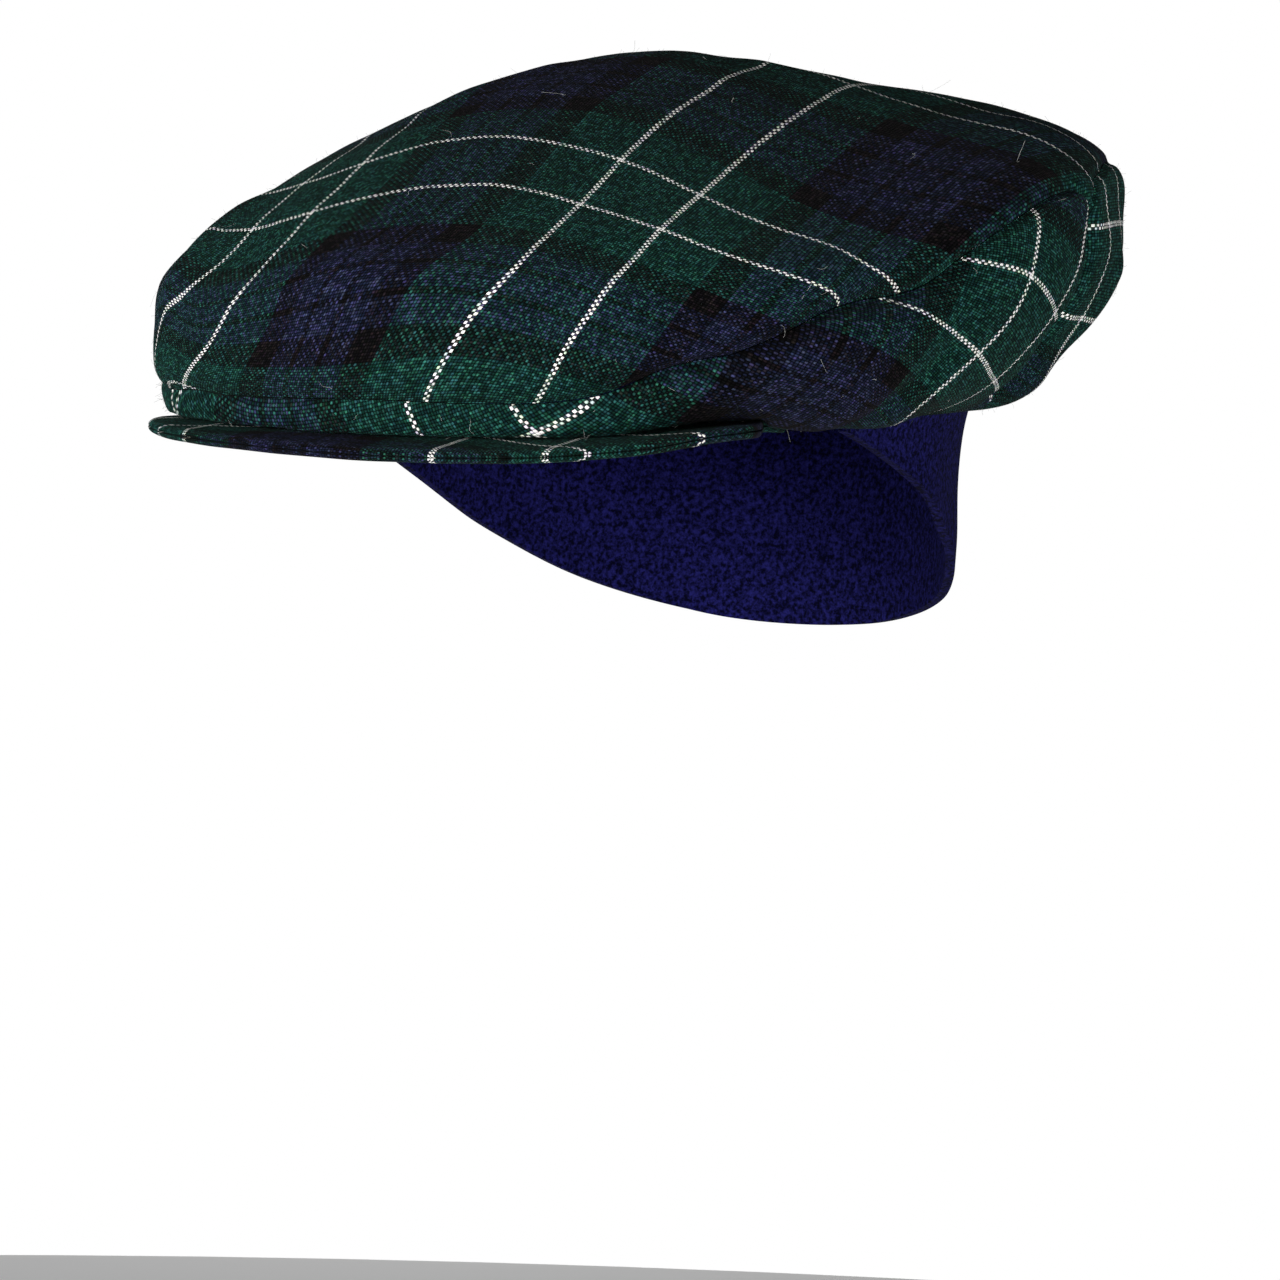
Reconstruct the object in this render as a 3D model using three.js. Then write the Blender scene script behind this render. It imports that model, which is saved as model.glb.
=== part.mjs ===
// A flat cap of tartan wool with a stiff peak and a soft navy flap below the rim.
// Millimetres, +Z up. The wearer faces -Y and the wearer's left is +X.
// The origin is the middle of the head opening, level with the rim at the front.
import * as THREE from 'three';

// Driving dimensions
const CLOTH = 1.6; // wall of the wool cloth
const FLEECE = 2.6; // wall of the soft flap
const GAP = 0.3; // clearance between neighbouring pieces
const OPENING = { halfWidth: 83, halfLength: 103 }; // rim, for a head of about 57 cm
const CROWN = { halfWidth: 121.5, halfLength: 145, apexHeight: 100, apexBack: 12 };
const PEAK = { halfWidth: 91, halfLength: 71, forward: 80, sweep: 116 };
const PEAK_BELOW_RIM = 1.4; // top of the peak under the rim's edge
const PEAK_REST = 0.5; // clearance of the cloth that lies on the peak
const PEAK_CREASE = 1.2; // softness of the bend where the cloth meets the peak
const SIDE_SEAM = 98; // place of each side seam, in degrees round from the front

// Grid of the walls
const STEP = 4; // degrees between two columns of the crown
const TOP_ROWS = 9;
const SIDE_ROWS = 6;
const PEAK_COLUMNS = 28;
const PEAK_ROWS = 3;
const FLAP_COLUMNS = 34;
const FLAP_ROWS = 4;
const ROWS_TO_EDGE = 0.8; // under 1 sets the rows of the top panel closer towards its edge

// Steps for the slopes of the surface, and the reach and end of the search for a wall's edge
const TURN_STEP = 1;
const ALONG_STEP = 0.02;
const SEARCH_REACH = 0.05;
const SEARCH_END = 0.00001;

// Sections of the crown. turn: degrees round from the front, positive on the wearer's left.
// reach: how far the widest place lies beyond the plain oval. widest: its height.
// edge: height where the top sheet would end there. fall: how late the sheet falls to it.
// shoulder: small is a sharp shoulder. tuck: small is a full belly under the widest place.
// rim: height of the rim. sag: how far the cloth sags between the belly and the rim.
const SECTIONS = [
  { turn: -180, reach: 0, widest: 53, edge: 86, fall: 1.2, shoulder: 0.26, tuck: 1.5, rim: 12, sag: 0 },
  { turn: -140, reach: 0, widest: 53, edge: 83, fall: 1.3, shoulder: 0.25, tuck: 1.5, rim: 12, sag: 0 },
  { turn: -115, reach: 0, widest: 47, edge: 74, fall: 1.5, shoulder: 0.25, tuck: 1.3, rim: 8, sag: 0 },
  { turn: -90, reach: 0.5, widest: 33, edge: 60, fall: 1.65, shoulder: 0.22, tuck: 0.95, rim: 2, sag: 2 },
  { turn: -60, reach: 1, widest: 15, edge: 43, fall: 1.8, shoulder: 0.2, tuck: 0.62, rim: 0, sag: 14 },
  { turn: -30, reach: 0, widest: 13, edge: 38, fall: 1.75, shoulder: 0.25, tuck: 0.6, rim: -1, sag: 24 },
  { turn: 0, reach: 0, widest: 14, edge: 39, fall: 1.7, shoulder: 0.32, tuck: 0.6, rim: -1, sag: 25 },
  { turn: 30, reach: 0, widest: 17, edge: 43, fall: 1.65, shoulder: 0.38, tuck: 0.65, rim: -1, sag: 20 },
  { turn: 60, reach: 0, widest: 26, edge: 52, fall: 1.6, shoulder: 0.42, tuck: 0.9, rim: 0, sag: 5 },
  { turn: 90, reach: 0, widest: 45, edge: 72, fall: 1.35, shoulder: 0.34, tuck: 1.15, rim: 4, sag: 0 },
  { turn: 115, reach: -1, widest: 53, edge: 83, fall: 1.15, shoulder: 0.3, tuck: 1.35, rim: 10, sag: 0 },
  { turn: 140, reach: -0.5, widest: 54, edge: 84, fall: 1.15, shoulder: 0.28, tuck: 1.45, rim: 12, sag: 0 },
];

// Drop of the peak's edge under the origin. angle: degrees round the peak's own oval.
const PEAK_EDGE = [
  { angle: -116, drop: 1.2 }, { angle: -90, drop: 1.6 }, { angle: -66, drop: 3.8 },
  { angle: -40, drop: 7.4 }, { angle: -16, drop: 10.4 }, { angle: 8, drop: 12.4 },
  { angle: 31, drop: 12 }, { angle: 50, drop: 9.2 }, { angle: 66, drop: 4.8 },
  { angle: 90, drop: 1.7 }, { angle: 116, drop: 1.2 },
];

// Seam round the top panel. along: place on the section, 0 apex, 1 widest, 2 rim.
// The seam dips where each side seam pulls it down.
const TOP_SEAM = [
  { turn: -180, along: 0.88 }, { turn: -140, along: 0.86 }, { turn: -106, along: 0.84 },
  { turn: -102, along: 0.86 }, { turn: -98, along: 0.97 }, { turn: -94, along: 0.86 },
  { turn: -86, along: 0.86 }, { turn: -75, along: 0.96 }, { turn: -60, along: 1.14 },
  { turn: -46, along: 1.22 }, { turn: -35, along: 1.24 }, { turn: -17, along: 1.29 },
  { turn: 0, along: 1.31 }, { turn: 14, along: 1.33 }, { turn: 24, along: 1.33 },
  { turn: 30, along: 1.3 }, { turn: 38, along: 1.19 }, { turn: 45, along: 1.16 },
  { turn: 52, along: 1.02 }, { turn: 66, along: 0.97 }, { turn: 76, along: 0.93 },
  { turn: 86, along: 0.86 }, { turn: 94, along: 0.87 }, { turn: 98, along: 0.97 },
  { turn: 102, along: 0.86 }, { turn: 106, along: 0.84 }, { turn: 140, along: 0.86 },
];

// Dents and bulges of the worn cloth, each along a short line on the surface.
// depth is inwards, so a bulge has a negative depth; width and depth are in mm.
const FOLDS = [
  { turn: 98, along: 0.98, toTurn: 98, toAlong: 1.7, width: 5, depth: 3.0 },
  { turn: -98, along: 0.98, toTurn: -98, toAlong: 1.7, width: 5, depth: 3.0 },
  { turn: 104, along: 1.35, toTurn: 107, toAlong: 1.55, width: 9, depth: 4.0 },
  { turn: 103, along: 1.78, toTurn: 124, toAlong: 1.78, width: 10, depth: -2.5 },
  { turn: 104, along: 0.56, toTurn: 150, toAlong: 0.56, width: 16, depth: -2.5 },
  { turn: 58, along: 0.99, toTurn: 68, toAlong: 0.96, width: 5, depth: 2.0 },
  { turn: 41, along: 1.12, toTurn: 50, toAlong: 1.2, width: 5, depth: 1.5 },
];
const TURN_LENGTH = 2.2; // mm of cloth for a degree round the widest place
const ALONG_LENGTH = 75; // mm of cloth for 1 along a section
const SEAM_VALLEY = { width: 4, depth: 0.9 }; // the shallow valley along the top seam

// Lower edge of the flap, from its front edge on one side to the middle of the back.
const FLAP_EDGE = [
  { turn: 73, height: -1.5 }, { turn: 80, height: -5 }, { turn: 94, height: -13 },
  { turn: 110, height: -25 }, { turn: 130, height: -38 }, { turn: 150, height: -46 },
  { turn: 180, height: -50 },
];
const FLAP_START = FLAP_EDGE[0].turn;
const FLAP_ABOVE_RIM = 3; // the flap starts inside the crown, this far above its rim
const FLAP_INSIDE = 0.9; // its outer face at the top, inside the oval of the rim
const FLAP_TAPER = 4; // how far it closes towards the neck

const { clamp, lerp, degToRad: radians, radToDeg: degrees } = THREE.MathUtils;

// The rows of one side of the cap and their mirror image, as one ring.
function mirrored(rows) {
  const left = rows.filter((row) => row.turn > 0 && row.turn < 180);
  return [...left.map((row) => ({ ...row, turn: -row.turn })).reverse(), ...rows];
}

// The value of a column at a turn, on a smooth closed curve through the rows of a ring.
function ringValue(rows, column, turn) {
  const count = rows.length;
  const first = rows[0].turn;
  const place = first + ((((turn - first) % 360) + 360) % 360);
  let at = count - 1;
  while (rows[at].turn > place) {
    at -= 1;
  }
  const turnOf = (k) => rows[(k + count) % count].turn + 360 * Math.floor(k / count);
  const valueOf = (k) => rows[(k + count) % count][column];
  const slopeOf = (k) => {
    const before = (valueOf(k) - valueOf(k - 1)) / (turnOf(k) - turnOf(k - 1));
    const after = (valueOf(k + 1) - valueOf(k)) / (turnOf(k + 1) - turnOf(k));
    const share = (turnOf(k) - turnOf(k - 1)) / (turnOf(k + 1) - turnOf(k - 1));
    return lerp(before, after, share);
  };
  const span = turnOf(at + 1) - turnOf(at);
  const t = (place - turnOf(at)) / span;
  return (
    (2 * t ** 3 - 3 * t ** 2 + 1) * valueOf(at) +
    (t ** 3 - 2 * t ** 2 + t) * span * slopeOf(at) +
    (3 * t ** 2 - 2 * t ** 3) * valueOf(at + 1) +
    (t ** 3 - t ** 2) * span * slopeOf(at + 1)
  );
}

const FLAP_RING = mirrored(FLAP_EDGE);
const PEAK_RING = PEAK_EDGE.map((row) => ({ turn: row.angle, drop: row.drop }));

const section = (column, turn) => ringValue(SECTIONS, column, turn);
const topSeam = (turn) => ringValue(TOP_SEAM, 'along', turn);

// A point of an oval round the head, at a height.
function oval(turn, halfWidth, halfLength, height) {
  const angle = radians(turn);
  return new THREE.Vector3(halfWidth * Math.sin(angle), -halfLength * Math.cos(angle), height);
}

// Peak

// Height of the peak's edge, lowest near the front and rising to the two corners.
const peakEdge = (angle) => -ringValue(PEAK_RING, 'drop', angle);

// The top face of the peak: angle round its own oval, out 0 at the rim and 1 at the edge.
function peakPoint(angle, out) {
  const edge = oval(angle, PEAK.halfWidth, PEAK.halfLength, peakEdge(angle));
  edge.y -= PEAK.forward;
  const turn = Math.atan2(edge.x / OPENING.halfWidth, -edge.y / OPENING.halfLength);
  const inner = oval(degrees(turn), OPENING.halfWidth, OPENING.halfLength, -PEAK_BELOW_RIM);
  return inner.lerp(edge, out);
}

// Height of the peak's top face under a place of the crown, or far below where there is none.
function peakHeight(x, y) {
  const turn = Math.atan2(x / OPENING.halfWidth, -y / OPENING.halfLength);
  const inner = Math.hypot(OPENING.halfWidth * Math.sin(turn), OPENING.halfLength * Math.cos(turn));
  const length = Math.hypot(x, y);
  const [alongX, alongY] = [x / length, y / length];
  const a = (alongX / PEAK.halfWidth) ** 2 + (alongY / PEAK.halfLength) ** 2;
  const b = (2 * alongY * PEAK.forward) / PEAK.halfLength ** 2;
  const c = (PEAK.forward / PEAK.halfLength) ** 2 - 1;
  const root = b * b - 4 * a * c;
  if (y > 0 || root < 0) {
    return -Infinity;
  }
  const outer = (-b + Math.sqrt(root)) / (2 * a);
  const angle = Math.atan2(
    (alongX * outer) / PEAK.halfWidth, -(alongY * outer + PEAK.forward) / PEAK.halfLength,
  );
  const edge = peakEdge(degrees(angle));
  return lerp(-PEAK_BELOW_RIM, edge, clamp((length - inner) / Math.max(outer - inner, 1), 0, 1));
}

// The larger of two heights, with a soft change from one to the other.
function softMax(first, second, softness) {
  const difference = first - second;
  return (first + second + Math.hypot(difference, softness)) / 2;
}

// Crown

// The smooth outer face, without its folds. along: 0 apex, 1 widest, 2 rim.
function crownPoint(turn, along) {
  const reach = section('reach', turn);
  const widest = oval(
    turn, CROWN.halfWidth + reach, CROWN.halfLength + reach, section('widest', turn),
  );
  if (along <= 1) {
    const angle = (along * Math.PI) / 2;
    const out = Math.sin(angle);
    const drop = CROWN.apexHeight - section('edge', turn);
    const sheet = CROWN.apexHeight - drop * out ** section('fall', turn);
    const share = Math.max(Math.cos(angle), 0) ** section('shoulder', turn);
    return new THREE.Vector3(
      widest.x * out,
      lerp(CROWN.apexBack, widest.y, out),
      lerp(widest.z, sheet, share),
    );
  }
  const rim = oval(turn, OPENING.halfWidth, OPENING.halfLength, section('rim', turn));
  const angle = (Math.min(along - 1, 1) * Math.PI) / 2;
  const tuck = section('tuck', turn);
  const inwards = 1 - Math.max(Math.cos(angle), 0) ** tuck;
  const point = widest.clone().lerp(rim, inwards);
  const height = lerp(widest.z, rim.z, Math.sin(angle) ** tuck);
  const free = height - section('sag', turn) * Math.sin(Math.PI * inwards);
  const peak = peakHeight(point.x, point.y);
  point.z = Number.isFinite(peak) ? softMax(free, peak + PEAK_REST, PEAK_CREASE) : free;
  return point;
}

// How far a place on the crown is pushed in by the folds and by the top seam.
function foldDepth(turn, along) {
  const around = turn > 180 ? turn - 360 : turn;
  let depth = 0;
  for (const fold of FOLDS) {
    const line = new THREE.Line3(
      new THREE.Vector3(fold.turn * TURN_LENGTH, fold.along * ALONG_LENGTH, 0),
      new THREE.Vector3(fold.toTurn * TURN_LENGTH, fold.toAlong * ALONG_LENGTH, 0),
    );
    const place = new THREE.Vector3(around * TURN_LENGTH, along * ALONG_LENGTH, 0);
    const nearest = line.closestPointToPoint(place, true, new THREE.Vector3());
    depth += fold.depth * Math.exp(-((place.distanceTo(nearest) / fold.width) ** 2));
  }
  const fromSeam = (along - topSeam(turn)) * ALONG_LENGTH;
  return depth + SEAM_VALLEY.depth * Math.exp(-((fromSeam / SEAM_VALLEY.width) ** 2));
}

// The outward direction of a surface, from its slopes both ways.
function outward(surface, u, v, du, dv) {
  const acrossU = surface(u + du, v).sub(surface(u - du, v));
  const acrossV = surface(u, v + dv).sub(surface(u, v - dv));
  return acrossV.cross(acrossU).normalize();
}

function crownNormal(turn, along) {
  if (along < ALONG_STEP) {
    return new THREE.Vector3(0, 0, 1);
  }
  return outward(crownPoint, turn, Math.min(along, 2 - ALONG_STEP), TURN_STEP, ALONG_STEP);
}

// A place on the crown, with its folds, a depth of cloth below the outer face. Beside a seam
// the normal and the folds are those of the seam itself, so that the two walls stay parallel.
function crownAt(turn, along, depth, seam) {
  const inwards = foldDepth(turn, seam) + depth;
  return crownPoint(turn, along).addScaledVector(crownNormal(turn, seam), -inwards);
}

// The edge of the wall above the top seam (side -1) or below it (side 1): half of the gap
// away from the seam, and further along the section where the seam runs at a slant to it.
function besideSeam(turn, side) {
  const seam = topSeam(turn);
  const [before, middle, after] = [turn - STEP, turn, turn + STEP].map(
    (place) => crownPoint(place, topSeam(place)),
  );
  const down = crownPoint(turn, seam + side * SEARCH_REACH).sub(middle).normalize();
  const sines = [before, after].map((point) => point.sub(middle).normalize().cross(down).length());
  const wanted = GAP / 2 / Math.min(...sines);
  let near = 0;
  let far = SEARCH_REACH;
  while (far - near > SEARCH_END) {
    const half = (near + far) / 2;
    if (crownPoint(turn, seam + side * half).distanceTo(middle) < wanted) {
      near = half;
    } else {
      far = half;
    }
  }
  return seam + side * far;
}

// Walls

// A closed wall between an outer face (layer 0) and an inner one (layer 1), both given as
// face(u, v, layer) for u and v from 0 to 1. A ring closes on itself in u, and with a pole
// the first row is one shared point.
function wall(columns, rows, face, { ring = false, pole = false } = {}) {
  const points = [];
  const triangles = [];
  const addPoint = (...place) => points.push(face(...place)) - 1;
  const count = ring ? columns : columns + 1;
  const layers = [0, 1].map((layer) => {
    const shared = pole ? addPoint(0, 0, layer) : null;
    const grid = Array.from({ length: count }, (_, column) =>
      Array.from({ length: rows + 1 }, (__, row) =>
        pole && row === 0 ? shared : addPoint(column / columns, row / rows, layer)));
    return (column, row) => grid[column % count][row];
  });
  const [outer, inner] = layers;
  // The edge strips of two walls that meet are cut along the same diagonals.
  const strip = (from, to, turned) => {
    const [first, second] = [
      [outer(...from), outer(...to), inner(...to)],
      [outer(...from), inner(...to), inner(...from)],
    ];
    triangles.push(...(turned ? first.reverse() : first));
    triangles.push(...(turned ? second.reverse() : second));
  };
  for (let column = 0; column < columns; column += 1) {
    const next = column + 1;
    for (let row = 0; row < rows; row += 1) {
      const below = row + 1;
      triangles.push(outer(column, row), outer(column, below), outer(next, below));
      triangles.push(inner(column, row), inner(next, below), inner(column, below));
      if (!pole || row > 0) {
        triangles.push(outer(column, row), outer(next, below), outer(next, row));
        triangles.push(inner(column, row), inner(next, row), inner(next, below));
      }
    }
    strip([next, rows], [column, rows], false);
    if (!pole) {
      strip([next, 0], [column, 0], true);
    }
  }
  for (let row = 0; row < rows && !ring; row += 1) {
    strip([0, row + 1], [0, row], false);
    strip([columns, row + 1], [columns, row], true);
  }
  const geometry = new THREE.BufferGeometry().setFromPoints(points);
  geometry.setIndex(triangles);
  geometry.computeVertexNormals();
  return geometry;
}

function topPanel() {
  const columns = 360 / STEP;
  const face = (u, v, layer) => {
    const turn = SIDE_SEAM + 360 * u;
    const along = besideSeam(turn, -1) * v ** ROWS_TO_EDGE;
    return crownAt(turn, along, layer * CLOTH, v === 1 ? topSeam(turn) : along);
  };
  return wall(columns, TOP_ROWS, face, { ring: true, pole: true });
}

// A panel of the side wall from one side seam to the other, through the front or the back.
function sidePanel(fromTurn, toTurn) {
  const inset = (GAP / 2) / TURN_LENGTH;
  const face = (u, v, layer) => {
    const turn = lerp(fromTurn + inset, toTurn - inset, u);
    const along = lerp(besideSeam(turn, 1), 2, v);
    return crownAt(turn, along, layer * CLOTH, v === 0 ? topSeam(turn) : along);
  };
  return wall(Math.round((toTurn - fromTurn) / STEP), SIDE_ROWS, face);
}

// One cloth of the peak, between two depths below its top face.
function peakCloth(topDepth, bottomDepth) {
  const face = (u, v, layer) => {
    const point = peakPoint(lerp(-PEAK.sweep, PEAK.sweep, u), v);
    point.z -= layer === 0 ? topDepth : bottomDepth;
    return point;
  };
  return wall(PEAK_COLUMNS, PEAK_ROWS, face);
}

function flap() {
  const face = (u, v, layer) => {
    const turn = lerp(FLAP_START, 360 - FLAP_START, u);
    const top = section('rim', turn) + FLAP_ABOVE_RIM;
    const height = lerp(top, ringValue(FLAP_RING, 'height', turn), v);
    const inwards = FLAP_INSIDE + FLAP_TAPER * v + layer * FLEECE;
    return oval(turn, OPENING.halfWidth - inwards, OPENING.halfLength - inwards, height);
  };
  return wall(FLAP_COLUMNS, FLAP_ROWS, face);
}

// Assembly

const cap = new THREE.Group();

function add(name, geometry, colour, roughness) {
  const material = new THREE.MeshStandardMaterial({ color: colour, roughness, metalness: 0 });
  const mesh = new THREE.Mesh(geometry, material);
  mesh.name = name;
  cap.add(mesh);
}

add('crown_top_panel', topPanel(), 0x12302a, 0.9);
add('crown_front_panel', sidePanel(-SIDE_SEAM, SIDE_SEAM), 0x163a30, 0.9);
add('crown_back_panel', sidePanel(SIDE_SEAM, 360 - SIDE_SEAM), 0x1a2440, 0.9);
add('peak_upper', peakCloth(0, CLOTH), 0x12302a, 0.9);
add('peak_under', peakCloth(CLOTH + GAP, 2 * CLOTH + GAP), 0x14203a, 0.9);
add('ear_flap', flap(), 0x1a1650, 0.95);

export default cap;
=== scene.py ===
import math

import bpy
import numpy as np
from mathutils import Matrix, Vector, noise


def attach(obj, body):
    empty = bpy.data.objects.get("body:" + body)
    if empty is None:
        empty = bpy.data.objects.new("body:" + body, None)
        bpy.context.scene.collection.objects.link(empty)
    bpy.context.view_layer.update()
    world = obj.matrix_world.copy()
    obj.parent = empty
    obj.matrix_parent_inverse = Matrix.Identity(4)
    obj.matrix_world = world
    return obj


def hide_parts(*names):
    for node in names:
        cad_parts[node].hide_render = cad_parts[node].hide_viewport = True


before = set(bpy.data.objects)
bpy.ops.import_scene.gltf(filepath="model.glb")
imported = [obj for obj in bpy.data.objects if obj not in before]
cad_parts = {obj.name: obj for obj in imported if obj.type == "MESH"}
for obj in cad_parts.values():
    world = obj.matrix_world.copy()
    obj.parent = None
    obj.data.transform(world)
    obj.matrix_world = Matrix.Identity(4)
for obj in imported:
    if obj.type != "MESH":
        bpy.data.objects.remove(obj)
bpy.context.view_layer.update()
scene = bpy.context.scene
scene.view_settings.view_transform = "Standard"

# Camera
# It looks at the cap from in front of the wearer's left temple, level with the peak,
# through a long lens from 1.5 m away, and leans by 2 degrees.
CAMERA_TURN = math.radians(30)
CAMERA_LEAN = math.radians(2)
CAMERA_DISTANCE = 1.5
CAMERA_AIM = Vector((0, 0, -0.056))

camera_data = bpy.data.cameras.new("camera")
camera_data.sensor_width = 36
camera_data.lens = 160.3
camera = bpy.data.objects.new("camera", camera_data)
scene.collection.objects.link(camera)
scene.camera = camera
camera_back = Vector((math.sin(CAMERA_TURN), -math.cos(CAMERA_TURN), 0))
camera_side = Vector((math.cos(CAMERA_TURN), math.sin(CAMERA_TURN), 0))
camera_up = camera_back.cross(camera_side)
side = camera_side * math.cos(CAMERA_LEAN) + camera_up * math.sin(CAMERA_LEAN)
up = camera_up * math.cos(CAMERA_LEAN) - camera_side * math.sin(CAMERA_LEAN)
camera.matrix_world = Matrix.LocRotScale(
    CAMERA_AIM + camera_back * CAMERA_DISTANCE,
    Matrix((side, up, camera_back)).transposed(),
    None,
)

# Top panel of the crown
# One broad piece of tartan wool, drawn forward over the peak and sewn to the front and back
# panels all round. It is a fine ring of cloth laid over the sections of the crown, in millimetres.
CLOTH = 1.6
GAP = 0.3
OPENING = (83, 103)
CROWN = (121.5, 145)
APEX_HEIGHT = 100
APEX_BACK = 12
SIDE_SEAM = 98
# mm round the crown to a degree of turn
TURN_LENGTH = 2.2

# Sections of the crown by degrees round from the front, positive on the wearer's left.
REACH, WIDEST, EDGE, FALL, SHOULDER, TUCK, RIM, SAG = range(1, 9)
SECTIONS = np.array([
    # turn, reach, widest, edge, fall, shoulder, tuck, rim, sag
    (-180, 0, 53, 86, 1.2, 0.26, 1.5, 12, 0),
    (-140, 0, 53, 83, 1.3, 0.25, 1.5, 12, 0),
    (-115, 0, 47, 74, 1.5, 0.25, 1.3, 8, 0),
    (-90, 0.5, 33, 60, 1.65, 0.22, 0.95, 2, 2),
    (-60, 1, 15, 43, 1.8, 0.2, 0.62, 0, 14),
    (-30, 0, 13, 38, 1.75, 0.25, 0.6, -1, 24),
    (0, 0, 14, 39, 1.7, 0.32, 0.6, -1, 25),
    (30, 0, 17, 43, 1.65, 0.38, 0.65, -1, 20),
    (46, 0, 20.8, 46.8, 1.64, 0.41, 0.77, -0.7, 4),
    (60, 0, 26, 52, 1.6, 0.42, 0.9, 0, 4.6),
    (90, 0, 45, 72, 1.35, 0.34, 1.15, 4, 0),
    (115, -3, 53, 83, 1.15, 0.3, 1.35, 10, 0),
    (140, -1.5, 54, 84, 1.15, 0.28, 1.45, 12, 0),
])

# Seam round the top panel by turn: mm of cloth down from the widest line.
TOP_SEAM = np.array([
    # turn, mm
    (-180, -22), (-140, -21.6), (-106, -20.6), (-101, -17.5), (-98, -11.5), (-95, -17.5),
    (-88, -18.5), (-75, -11), (-60, 3), (-46, 9.4), (-35, 10.9), (-17, 13.9), (0, 15.3),
    (14, 16.9), (24, 17.2), (30, 15.7), (36, 11), (40, 8.9), (44, 8.2), (47, 5.8), (51, 1.8),
    (55, -1.4), (59, -2.9), (64, -2.7), (68, -4.2), (71, -7.3), (76, -11), (83, -15.2),
    (90, -17.6), (95, -17), (98, -11.5), (101, -17.5), (106, -20.3), (140, -20.6),
])

# Dents (positive depth) and bulges of the worn cloth, along short lines on the surface.
FOLDS = np.array([
    # turn, mm below the widest line, to turn, to mm, width, depth
    (98, -6, 97, 44, 4.5, 3.4),
    (98.5, -8, 97.5, 26, 1.8, 1.8),
    (-98, -2, -97, 44, 5, 2.8),
    (97, 24, 98, 38, 7, 6),
    (101, 47, 124, 47, 9, -3),
    (104, -38, 150, -40, 16, -2.5),
    (120, -62, 170, -62, 20, -2.2),
    (105, -14, 114, -12, 9, 1.6),
    (104, 30, 112, 34, 10, 1.2),
    (71, 16, 63, 38, 5, 1.6),
    (75, 10, 70, 36, 9, -1.4),
    (52, -2, 63, -3, 3.5, 1.8),
    (66, 6, 57, 7, 5, -1.2),
    (37, 12, 47, 6, 4, 1.2),
    (42, 17, 54, 9, 6, -1.2),
    (-30, -30, -12, -6, 9, 0.9),
    (-12, -38, 6, -10, 10, -0.9),
    (30, -20, 42, -3, 8, 0.9),
    (20, -26, 30, -6, 10, -0.8),
    (-48, -46, -41, -26, 10, -2.2),
    (112, 8, 105, 38, 7, -2.8),
    (82, -111, 110, -72, 13, -1.4),
    (-26, -136, -36, -118, 16, -1.2),
])
# The cloth dips beside the top seam, hardly at the back, and rolls under at its very edge, most
# in front of the left temple.
SEAM_VALLEY_WIDTH = 4
SEAM_VALLEY_DEPTH = 1.3
VALLEY_TURNS = (95, 102, 258, 265)
VALLEY_SHARES = (1, 0.15, 0.15, 1)
SEAM_ROLL = 1
SEAM_ROLL_WIDTH = 1.4
ROLL_TURNS = (22, 34, 64, 74)
ROLL_SHARES = (1, 1.9, 1.9, 1)
# Uneven waves of the cloth: size and height
WAVES = ((26, 0.8), (11, 0.3))
CLOSE_PLACES = 120
SPARSE_PLACES = 40
NORMAL_STEP = 0.02
SMOOTH_UP_TO = 50
# A place in the hollow, to tell a wall's outer side by
HOLLOW_MIDDLE = Vector((0, 0, 0.02))

# The peak lies under the front of the crown. Its edge is an oval of these half widths, and its
# tips run out thin at both ends.
PEAK = (91, 71)
PEAK_FORWARD = 80
PEAK_BELOW_RIM = 1.4
PEAK_REST = 0.5
PEAK_CREASE = 1.2
PEAK_EDGE = np.array([
    # degrees round the peak's own oval, drop of its edge
    (-116, 1.2), (-90, 1.6), (-66, 3.8), (-40, 7.4), (-16, 10.4), (8, 12.4), (31, 12),
    (50, 9.2), (66, 4.8), (90, 1.7), (116, 1.2),
])
TIP_START = 72
TIP_LENGTH = 18
TIP_LIFT = 1.6
TIP_NARROW = 0.9
TIP_FALL = 0.9
# A height far below everything, where there is no peak
NO_PEAK = -1e6


def on_ring(rows, column, turn):
    """A column of a table at any turn, on a smooth closed curve through its rows."""
    knots = rows[:, 0]
    values = rows[:, column]
    count = len(knots)
    place = knots[0] + np.mod(turn - knots[0], 360)
    at = np.searchsorted(knots, place, side="right") - 1
    turns = [knots[(at + k) % count] + 360 * ((at + k) // count) for k in (-1, 0, 1, 2)]
    points = [values[(at + k) % count] for k in (-1, 0, 1, 2)]
    steps = [(points[k + 1] - points[k]) / (turns[k + 1] - turns[k]) for k in range(3)]
    slopes = []
    for k in (1, 2):
        share = (turns[k] - turns[k - 1]) / (turns[k + 1] - turns[k - 1])
        slopes.append(steps[k - 1] + (steps[k] - steps[k - 1]) * share)
    span = turns[2] - turns[1]
    t = (place - turns[1]) / span
    return (
        (2 * t**3 - 3 * t**2 + 1) * points[1]
        + (t**3 - 2 * t**2 + t) * span * slopes[0]
        + (3 * t**2 - 2 * t**3) * points[2]
        + (t**3 - t**2) * span * slopes[1]
    )


def tip(angle):
    """How far the end of the peak has run out into its tip, 0 to 1, by degrees round its oval."""
    share = np.clip((np.abs(angle) - TIP_START) / TIP_LENGTH, 0, 1)
    return share * share * (3 - 2 * share)


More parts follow.
